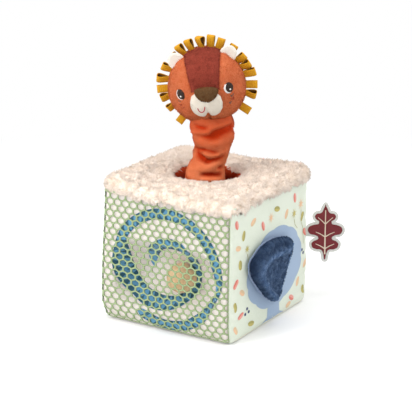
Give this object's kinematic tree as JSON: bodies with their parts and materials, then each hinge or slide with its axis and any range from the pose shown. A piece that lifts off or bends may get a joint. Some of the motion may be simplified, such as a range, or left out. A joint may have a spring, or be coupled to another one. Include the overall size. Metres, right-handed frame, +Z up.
{
  "type": "jack in the box",
  "caption": "Soft play cube with a plush lion head on a coil spring that presses down into a furry top, a ball behind netting, a plush flap and a cloth tag.",
  "frame": {"origin": "middle of the cube's base, on the surface that it stands on", "axes": "+Z up; -Y out of the side with the net; +X out of the side with the flap"},
  "size_m": [0.1865, 0.1743, 0.2882],
  "materials": {
    "mint_cloth": "matte",
    "foam": "matte",
    "board": "matte",
    "panel_cloth": "matte",
    "green_net": "matte",
    "cream_fur": "matte",
    "orange_velour": "matte",
    "orange_plush": "matte",
    "stripe_plush": "matte",
    "white_plush": "matte",
    "nose_plush": "matte",
    "eye_thread": "matte",
    "red_thread": "matte",
    "cheek_thread": "matte",
    "ear_felt": "matte",
    "ribbon": "matte",
    "stuffing": "matte",
    "plastic": "satin",
    "steel": "satin",
    "ball_wood": "matte",
    "navy_plush": "matte",
    "blue_cloth": "matte",
    "tag_cloth": "matte"
  },
  "bodies": {
    "box": {"base_cover": "mint_cloth", "base_foam": "foam", "base_board": "board", "front_foam": "foam", "front_panel": "panel_cloth", "front_net": "green_net", "right_foam": "foam", "right_cover": "mint_cloth", "back_foam": "foam", "back_cover": "mint_cloth", "left_foam": "foam", "left_cover": "mint_cloth", "top_foam": "foam", "fur_top": "cream_fur", "fur_collar": "cream_fur", "mouth_cuff": "orange_velour", "well_lining": "orange_velour", "spring_seat": "plastic", "seat_screws": "steel", "spring": "steel", "neck_sleeve": "orange_velour", "sleeve_clamp": "plastic", "flap_hem": "navy_plush"},
    "spring_top": {"spring_disc": "plastic"},
    "knob": {"neck_knob": "plastic", "knob_clip": "steel"},
    "head": {"head_socket": "plastic", "head_stuffing": "stuffing", "face_left": "orange_plush", "face_right": "orange_plush", "forehead_stripe": "stripe_plush", "head_back": "orange_plush", "muzzle": "white_plush", "nose": "nose_plush", "eyes": "eye_thread", "smile_stitch": "red_thread", "cheek_stitches": "cheek_thread", "ears": "ear_felt", "mane_ribbons": "ribbon"},
    "ball": {"ball": "ball_wood"},
    "flap": {"flap_plush": "navy_plush", "flap_lining": "blue_cloth"},
    "tag": {"label_tag": "tag_cloth"}
  },
  "joints": [
    {"name": "head_press", "type": "slide", "parent": "box", "child": "spring_top", "axis": [0, 0, -1], "range_m": [0, 0.135], "stiffness_N_per_m": 40, "springref_m": -0.06, "deforming": ["spring", "neck_sleeve", "fur_collar", "mouth_cuff", "mane_ribbons", "ears"]},
    {"name": "head_turn", "type": "hinge", "parent": "spring_top", "child": "knob", "pos_m": [0, -0.0015, 0.1958], "axis": [0, 0, 1], "range_deg": [-45, 45]},
    {"name": "head_sway", "type": "hinge", "parent": "knob", "child": "head", "pos_m": [0, -0.0015, 0.2103], "axis": [0.4848, -0.8746, 0], "range_deg": [-8, 8], "stiffness_Nm_per_rad": 0.1},
    {"name": "ball_slide", "type": "slide", "parent": "box", "child": "ball", "axis": [1, 0, 0], "range_m": [-0.041, 0.023]},
    {"name": "flap_lift", "type": "hinge", "parent": "box", "child": "flap", "pos_m": [0.07835, 0.012, 0.03], "axis": [0, 0.4848, 0.8746], "range_deg": [0, 120], "stiffness_Nm_per_rad": 0.003, "springref_deg": -22.92},
    {"name": "tag_swing", "type": "hinge", "parent": "box", "child": "tag", "pos_m": [0.07416, 0.07072, 0.076], "axis": [0, 0, 1], "range_deg": [-60, 60]}
  ]
}
